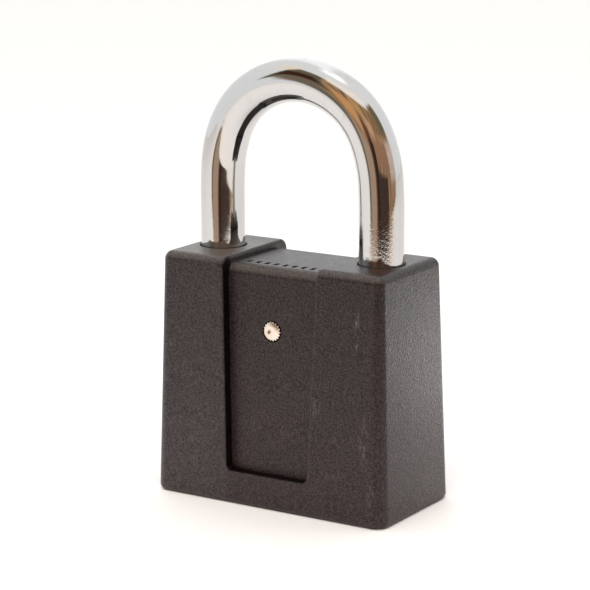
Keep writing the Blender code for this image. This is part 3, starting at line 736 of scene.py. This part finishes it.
def shackle_stations():
    """(x, z, direction of travel in degrees, radius) from the heel's end to the toe's."""
    leg_end = [(END_R * (1 - cosine(angle)), BAR_R - END_R * (1 - sine(angle)))
               for angle in range(0, 91, 15)]
    flare = [(NECK_FLARE * sine(angle), NECK_R + NECK_FLARE * (1 - sine(angle)))
             for angle in (0, 30, 60, 90)]
    heel = [(HEEL_END_Z + rise, radius) for rise, radius in leg_end]
    heel += [(NECK_Z0 - NECK_EDGE, BAR_R), (NECK_Z0, BAR_R - NECK_EDGE)]
    heel += [(NECK_Z0 + 0.02 + rise, radius) for rise, radius in flare]
    heel += [(NECK_Z1 - 0.02 - rise, radius) for rise, radius in reversed(flare)]
    heel += [(NECK_Z1, BAR_R - NECK_EDGE), (NECK_Z1 + NECK_EDGE, BAR_R)]
    heel += [(z, BAR_R) for z in [48.0, 54.0, 60.0, 65.0, 70.0] + [71.0 + 0.5 * i for i in range(19)]]
    bow = []
    for i in range(BOW_STEPS + 1):
        angle = math.pi * (1 - i / BOW_STEPS)
        bow.append((LEG_X * math.cos(angle), BOW_Z + LEG_X * math.sin(angle),
                    math.degrees(angle) - 90, BAR_R))
    toe = [(z, BAR_R) for z in
           [80.0 - 0.5 * i for i in range(19)] + [70.0, 66.0, 62.0, 58.0, 54.0, 50.0]]
    toe += [(TOE_END_Z + rise, radius) for rise, radius in reversed(leg_end)]
    return ([(-LEG_X, z, 90, radius) for z, radius in heel] + bow
            + [(LEG_X, z, -90, radius) for z, radius in toe])


def shackle_mesh():
    rings = []
    for x, z, travel, radius in shackle_stations():
        shift = (eased(z, SHOULDER_Z, SHOULDER_RISE)
                 - eased(z, SHOULDER_Z + SHOULDER_RISE, SHOULDER_FALL))
        x -= math.copysign(SHOULDER * shift, x)
        across = math.radians(travel - 90)
        rings.append([(x + radius * out * math.cos(across), radius * side,
                       z + radius * out * math.sin(across))
                      for out, side in circle(1.0, BAR_SIDES)])
    return loft("shackle_bar", rings)


def ball_cutter(name, x):
    draft = bmesh.new()
    bmesh.ops.create_uvsphere(draft, u_segments=72, v_segments=48, radius=BALL_POCKET_R * MM,
                              matrix=Matrix.Translation((x * MM, 0, BALL_Z * MM)))
    return to_mesh(draft, name)


def build_shackle():
    item = add("shackle_bar", shackle_mesh())
    cut(item, ball_cutter("toe_pocket", BALL_X_LOCKED))
    cut(item, ball_cutter("heel_pocket", -BALL_X_LOCKED))
    finish_piece(item, "shackle", "chrome", "shackle", angle=40)


build_shackle()

# ---------------------------------------------------------------- retaining pin
PIN_FACE_Y = PANEL_Y - 0.25
PIN_RIM_R = PIN_HEAD_R + 0.08
PIN_END = PIN_TIP_Y - PIN_FACE_Y
DIMPLE_DEPTH = 0.6  # share of the dimple profile's depth
# the dimple in the head, left of its centre: radius, depth
DIMPLE = ((0.10, 0.30), (0.24, 0.28), (0.34, 0.22), (0.42, 0.13), (0.50, 0.05),
          (0.60, 0.015), (0.75, 0.0))
# radius, distance behind the face, depth of the teeth, x shift, z shift
PIN_RINGS = [(radius, depth * DIMPLE_DEPTH, 0.0, -0.60, -0.05) for radius, depth in DIMPLE] + [
    (1.20, 0.0, 0.0, -0.42, -0.14),
    (1.70, 0.0, 0.0, -0.30, -0.28),
    (1.96, 0.07, 0.0, -0.16, -0.15),
    (2.12, 0.115, 0.04, -0.05, -0.05),
    (PIN_RIM_R - 0.24, 0.145, 0.17, 0, 0),
    (PIN_RIM_R - 0.12, 0.17, 0.32, 0, 0),
    (PIN_RIM_R - 0.03, 0.24, 0.42, 0, 0),
    (PIN_RIM_R, 0.36, 0.46, 0, 0),
    (PIN_RIM_R, PIN_HEAD_T - 0.1, 0.46, 0, 0),
    (PIN_RIM_R - 0.1, PIN_HEAD_T, 0.40, 0, 0),
    (PIN_SHANK_R + 0.1, PIN_HEAD_T + 0.005, 0, 0, 0),
    (PIN_SHANK_R, PIN_HEAD_T + 0.1, 0, 0, 0),
    (PIN_SHANK_R, PIN_END - 0.55, 0, 0, 0),
    (PIN_SHANK_R - 0.08, PIN_END - 0.38, 0, 0, 0),
    (PIN_SHANK_R - 0.3, PIN_END - 0.25, 0, 0, 0),
]


def pin_ring(radius, y, depth, shift_x, shift_z):
    count = PIN_TEETH * 10
    points = []
    for i in range(count):
        angle = 2 * math.pi * i / count
        wave = 0.5 - 0.5 * math.cos(angle * PIN_TEETH)
        reach = radius - depth * (0.35 * wave + 0.65 * wave ** 2)
        points.append((PIN_X + shift_x + reach * math.cos(angle), PIN_FACE_Y + y,
                       PIN_Z + shift_z + reach * math.sin(angle)))
    return points


pin = add("retaining_pin_knurled",
          loft("retaining_pin_knurled", [pin_ring(*ring) for ring in PIN_RINGS]))
finish_piece(pin, "case", "pin_copper", "retaining_pin", angle=50)


# ---------------------------------------------------------------- underside
def screw_profile():
    """Countersunk head, then a rolled thread inside the shank's radius."""
    pitch, thread_depth = 0.5, 0.22
    profile = [(0, 0.12), (SCREW_HEAD_R - 0.32, 0.12), (SCREW_HEAD_R - 0.2, 0.15),
               (SCREW_HEAD_R - 0.06, 0.24), (SCREW_HEAD_R, 0.35),
               (SCREW_R + 0.05, SCREW_HEAD_H - 0.05), (SCREW_R, SCREW_HEAD_H + 0.05)]
    z = SCREW_HEAD_H + 0.6
    while z < SCREW_Z1 - 0.9:
        profile += [(SCREW_R, z), (SCREW_R - thread_depth, z + pitch / 2)]
        z += pitch
    return profile + [(SCREW_R, z), (SCREW_R - 0.4, SCREW_Z1), (0, SCREW_Z1)]


def build_screw(side, x):
    name = f"cover_screw_{side}_fine"
    item = add(name, turned(name, screw_profile(), 64, at=(x, 0, 0)))
    hexagon = [(x + across, y) for across, y in circle(1.15, 6)]
    cut(item, extruded(f"{side}_socket", hexagon, -1, 1.15))
    finish_piece(item, "case", "screw_steel", f"cover_screw_{side}", angle=40)


def build_cover_and_screws():
    cover = add("bottom_cover_plate", tapered_block(
        "bottom_cover_plate", 0.0, COVER_T, inset_x=SIDE_WALL + FIT, inset_y=PANEL_DEPTH,
        top_r=0.25, foot_r=0.35, corner=1.0, steps=4))
    ease = 0.4
    hole = [(0, -1), (COVER_HOLE_R + ease, -1), (COVER_HOLE_R + ease, 0.0)]
    hole += eased_rim(COVER_HOLE_R, ease) + [(COVER_HOLE_R, COVER_T + 1), (0, COVER_T + 1)]
    cut(cover, turned("cover_hole", hole))
    head_r, shank_r = SCREW_HEAD_R + 0.2, SCREW_R + 0.25
    sink = [(0, -0.5), (head_r, -0.5), (head_r, 0.2), (shank_r, SCREW_HEAD_H + 0.3),
            (shank_r, COVER_T + 0.5), (0, COVER_T + 0.5)]
    for side, x in SCREW_PLACES:
        cut(cover, turned(f"{side}_sink", sink, 72, at=(x, 0, 0)))
        build_screw(side, x)
    finish_piece(cover, "case", "cover_black", "bottom_cover")


def build_keyway_plate():
    """A flanged nose with a D-shaped keyway, flat towards +X."""
    half = math.acos(KEYWAY_FLAT_X / KEYWAY_R)
    angles = [half + (2 * math.pi - 2 * half) * i / 60 for i in range(61)]
    keyway = [(KEYWAY_R * math.cos(angle), KEYWAY_R * math.sin(angle)) for angle in angles]
    edge = 0.4
    inner = PLATE_NOSE_R - edge
    nose = [(0, PLATE_NOSE_Z0), (inner, PLATE_NOSE_Z0)]
    nose += [(inner + edge * cosine(angle), PLATE_NOSE_Z0 + edge + edge * sine(angle))
             for angle in (-72, -54, -36, -18, 0)]
    nose += [(PLATE_NOSE_R, PLATE_FLANGE_Z0), (PLATE_FLANGE_R, PLATE_FLANGE_Z0),
             (PLATE_FLANGE_R, PLATE_FLANGE_Z1), (0, PLATE_FLANGE_Z1)]
    item = add("keyway_plate_fine", turned("keyway_plate_fine", nose))
    cut(item, extruded("keyway", keyway, -2, 10))
    finish_piece(item, "core", "plate_steel", "keyway_plate", angle=40)


build_cover_and_screws()
build_keyway_plate()
for cutter in CUTTERS:
    bpy.data.objects.remove(cutter, do_unlink=True)

# ---------------------------------------------------------------- CAD nodes that stay
NODE_FINISH = {
    "shackle_spring": "spring_steel", "core_retaining_ring": "spring_steel",
    "ball_toe": "hard_steel", "ball_heel": "hard_steel", "ball_cam": "cam_steel",
    "sidebar": "cam_steel", "thrust_washer": "spacer_steel",
    "cylinder_housing": "housing_brass", "disc_core": "drum_brass",
}


def finish_node(name, item):
    is_disc = name.startswith("disc_") and "spacer" not in name
    finish = NODE_FINISH.get(name, "disc_brass" if is_disc else "spacer_steel")
    item.data.materials.clear()
    item.data.materials.append(finishes[finish])
    for polygon in item.data.polygons:
        polygon.material_index = 0
    weld = item.modifiers.new("weld", "WELD")
    weld.merge_threshold = 1e-6
    split = item.modifiers.new("split", "EDGE_SPLIT")
    split.split_angle = math.radians(34)


for name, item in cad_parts.items():
    if not item.hide_render:
        finish_node(name, item)

# ---------------------------------------------------------------- camera
FOCAL_LENGTH, SENSOR_WIDTH = 144.499729, 36.0
DISTANCE, SHIFT, AIM_Z = 579.06, -1.48, 50.40
AZIMUTH, ELEVATION, ROLL = (math.radians(angle) for angle in (32.68, 12.68, -0.33))
# level directions from the lock: towards the camera, and to the camera's right
FACING = Vector((math.sin(AZIMUTH), -math.cos(AZIMUTH), 0.0))
SIDE_WAY = Vector((math.cos(AZIMUTH), math.sin(AZIMUTH), 0.0))


def build_camera():
    back = Vector((math.sin(AZIMUTH) * math.cos(ELEVATION),
                   -math.cos(AZIMUTH) * math.cos(ELEVATION), math.sin(ELEVATION)))
    upward = back.cross(SIDE_WAY).normalized()
    right = SIDE_WAY * math.cos(ROLL) + upward * math.sin(ROLL)
    top = upward * math.cos(ROLL) - SIDE_WAY * math.sin(ROLL)
    eye = SIDE_WAY * SHIFT + Vector((0, 0, AIM_Z)) + back * DISTANCE
    lens = bpy.data.cameras.new("camera")
    lens.sensor_width = SENSOR_WIDTH
    lens.lens = FOCAL_LENGTH
    lens.clip_start, lens.clip_end = 0.01, 50.0
    camera = add("camera", lens)
    camera.matrix_world = Matrix((
        (right.x, top.x, back.x, eye.x * MM), (right.y, top.y, back.y, eye.y * MM),
        (right.z, top.z, back.z, eye.z * MM), (0, 0, 0, 1)))
    bpy.context.scene.camera = camera


build_camera()

# ---------------------------------------------------------------- floor, in metres
FLOOR_Z = -0.00005
# the front edge bows out before the lock: place along SIDE_WAY, reach along FACING
FLOOR_EDGE = (
    (-3.0, 0.23), (-0.9, 0.23), (-0.45, 0.222), (-0.26, 0.195), (-0.20, 0.208),
    (-0.15, 0.24), (-0.08, 0.272), (-0.02, 0.288), (0.05, 0.292), (0.12, 0.285),
    (0.19, 0.27), (0.28, 0.25), (0.37, 0.235), (0.9, 0.22), (3.0, 0.22),
)
# rows behind the edge, its rounding first: share of the reach, height
FLOOR_FRONT = ((1.0, -0.006), (1.0, -0.003), (0.992, -0.0006), (0.97, 0.0), (0.6, 0.0), (0.2, 0.0))
FLOOR_BACK = (-0.05, -0.2, -0.5, -1.2, -3.0)  # straight rows along FACING


def floor_mesh():
    draft = bmesh.new()
    rows = []
    for share, drop in FLOOR_FRONT:
        rows.append([draft.verts.new(FACING * reach * share + SIDE_WAY * side
                                     + Vector((0, 0, drop + FLOOR_Z)))
                     for side, reach in FLOOR_EDGE])
    for depth in FLOOR_BACK:
        rows.append([draft.verts.new(FACING * depth + SIDE_WAY * side + Vector((0, 0, FLOOR_Z)))
                     for side, _ in FLOOR_EDGE])
    for row, following in zip(rows, rows[1:]):
        for i in range(len(row) - 1):
            draft.faces.new((row[i], row[i + 1], following[i + 1], following[i]))
    return to_mesh(draft, "floor")


def floor_finish():
    """Pale matt top, with painted shade that turns it warmer and darker towards its front edge."""
    made, shade = new_material("floor", metallic=0.0)
    paper = shade.noise(shade.grid(), scale=0.5, detail=3.0, rough=0.6)
    ahead = shade.dot(shade.grid(), tuple(FACING))
    # painted shade: warmer and darker towards the front edge, where the light falls off
    colour = shade.mix(shade.step(ahead, 40.0, 260.0), grey(0.945), (0.93, 0.875, 0.82))
    shade.set(shade.shader, {
        "Base Color": shade.tint(colour, shade.mix(paper, grey(0.985), grey(1.0))),
        "Roughness": 0.6 + paper * 0.2, "Specular IOR Level": 0.2})
    # clear when seen from below, and under the lock, so that its underside is lit and in view
    seen = shade.split(shade.out("ShaderNodeNewGeometry", socket="Incoming"))[2]
    clear = (shade.calc("LESS_THAN", seen, 0.0)
             * shade.out("ShaderNodeLightPath", socket="Is Camera Ray"))
    x, y, _ = shade.split(shade.grid())
    margin = CASE_FOOT_R + 0.4
    under = (shade.calc("LESS_THAN", abs(x), CASE_W_BOTTOM / 2 - margin)
             * shade.calc("LESS_THAN", abs(y), CASE_D_BOTTOM / 2 - margin))
    top_coat = shade.out("ShaderNodeMixShader", {
        0: shade.calc("MAXIMUM", clear, under), 1: Value(shade, shade.shader.outputs[0]),
        2: shade.out("ShaderNodeBsdfTransparent")})
    shade.feed(shade.output.inputs[0], top_coat)
    return made


floor = add("floor", floor_mesh())
floor.data.materials.append(floor_finish())

# ---------------------------------------------------------------- world
# A pale studio, open to a warm room in front. Patches of sky in degrees, azimuth from FACING
# towards SIDE_WAY: azimuth from, to, elevation from, to, softness, lean of each side, colour
OPEN_SIDE = (-64, 78, -40, 53, 2.5, 0.43, 0.0)
SKY_PATCHES = (
    (-80, -50, 16, 53, 2.5, 0.0, 0.0, (0.20, 0.16, 0.11)),
    (-45, 42, 50, 66, 3.5, 0.0, 0.0, (1.42, 1.26, 1.12)),  # cream light along the top
    (-104, -80, 44, 58, 5.0, 0.0, 0.0, (1.32, 1.14, 0.88)),
    (-64, -50, -40, 30, 3.0, 0.43, 0.43, (0.24, 0.19, 0.14)),  # dark left edge
    (-72, -44, 24, 40, 3.0, 0.2, 0.3, (0.075, 0.030, 0.017)),
    (-52, -22, -40, 4, 3.0, 0.0, 0.0, (0.56, 0.40, 0.285)),  # pale wood
    (-47, -24, 9, 34, 5.0, 0.0, 0.0, (0.88, 0.45, 0.19)),  # lamp-lit wood
    (-24, -8, -40, 21, 3.0, 0.0, 0.0, (0.22, 0.09, 0.045)),
    (-19, -5, -40, 12, 2.0, 0.0, 0.0, (0.050, 0.030, 0.022)),  # dark furniture
    (-22, 0, 29, 46, 4.0, 0.0, 0.0, (0.76, 0.41, 0.17)),
    (-5, 36, -40, 0, 2.0, 0.0, 0.0, (0.085, 0.050, 0.040)),
    (-1, 46, 4, 19, 3.0, 0.0, 0.0, (0.48, 0.255, 0.15)),
    (-6, 13, 18, 32, 4.0, 0.0, 0.0, (0.82, 0.47, 0.28)),
    (20, 48, 25, 44, 3.0, 0.0, 0.0, (0.38, 0.22, 0.10)),
    (48, 78, 26, 52, 3.0, 0.0, 0.0, (0.22, 0.185, 0.115)),
    (50, 80, -2, 21, 4.0, 0.0, 0.0, (0.86, 0.65, 0.54)),
)


def sky_mask(shade, azimuth, elevation, patch):
    """A soft-edged patch; its sides lean by degrees of azimuth per degree of elevation."""
    az0, az1, el0, el1, soft, lean0, lean1 = patch
    first = azimuth + elevation * lean0 if lean0 else azimuth
    last = azimuth + elevation * lean1 if lean1 else azimuth
    return (shade.step(first, az0 - soft, az0 + soft) * shade.step(last, az1 + soft, az1 - soft)
            * shade.step(elevation, el0 - soft, el0 + soft)
            * shade.step(elevation, el1 + soft, el1 - soft))


def build_world():
    world = bpy.data.worlds.new("studio")
    bpy.context.scene.world = world
    world.use_nodes = True
    shade = Shade(world.node_tree)
    view = shade.out("ShaderNodeTexCoord", socket="Generated")
    along = shade.dot(view, tuple(FACING))
    across = shade.dot(view, tuple(SIDE_WAY))
    azimuth = shade.calc("ARCTAN2", across, along) * (180 / math.pi)
    elevation = shade.calc("ARCSINE", shade.split(view)[2]) * (180 / math.pi)
    # upright streaks in the room
    spread = shade.out("ShaderNodeCombineXYZ", {0: azimuth * 0.14, 1: elevation * 0.035})
    streaks = shade.noise(spread, scale=1.0, detail=2.0, rough=0.5)
    room = shade.mix(shade.step(streaks, 0.38, 0.62), (0.28, 0.165, 0.095), (0.62, 0.375, 0.205))
    # the tent, brighter overhead and straight behind
    sky = shade.mix(shade.step(elevation, 20, 60), (1.12, 1.13, 1.12), (1.18, 1.17, 1.16))
    sky = shade.mix(shade.step(elevation, 74, 84), sky, (1.9, 1.88, 1.86))
    sky = shade.mix(shade.step(abs(azimuth), 150, 172), sky, (1.55, 1.56, 1.57))
    for *patch, colour in ((*OPEN_SIDE, room), *SKY_PATCHES):
        sky = shade.mix(sky_mask(shade, azimuth, elevation, patch), sky, colour)
    # the camera itself sees plain white
    sky = shade.mix(shade.out("ShaderNodeLightPath", socket="Is Camera Ray"), sky, grey(1.0))
    background = shade.out("ShaderNodeBackground", {"Color": sky, "Strength": 1.0})
    shade.node("ShaderNodeOutputWorld", {0: background})


build_world()


# ---------------------------------------------------------------- lights, in metres and watts
def soft_panel(name, place, away, size, size_y, energy, colour=(1, 1, 1)):
    """A rectangular light, unseen by the camera, facing back along the direction away."""
    lamp = bpy.data.lights.new(name, "AREA")
    lamp.shape, lamp.size, lamp.size_y = "RECTANGLE", size, size_y
    lamp.energy, lamp.color = energy, colour
    item = add(name, lamp)
    item.location = place
    item.rotation_mode = "QUATERNION"
    item.rotation_quaternion = Vector(away).to_track_quat("Z", "Y")
    item.visible_camera = False
    return item


# a small light behind the right side, for the jacket alone
toward = FACING * cosine(130) + SIDE_WAY * sine(130)
side_panel = soft_panel("side_panel", place=Vector((0.032, 0, 0.018)) + toward * 0.10,
                        away=toward, size=0.05, size_y=0.036, energy=0.014)
lit = bpy.data.collections.new("side_panel_lights")
lit.objects.link(jacket)
side_panel.light_linking.receiver_collection = lit
# a wide one above the front, for the table
high_front = FACING * 0.62 - SIDE_WAY * 0.15 + Vector((0, 0, 0.78))
top_panel = soft_panel("top_panel", place=high_front * 0.8, away=high_front,
                       size=0.7, size_y=0.7, energy=4.1, colour=(1.0, 0.99, 0.98))
top_panel.visible_glossy = False

bpy.context.scene.view_settings.view_transform = "Standard"
bpy.context.scene.view_settings.look = "None"
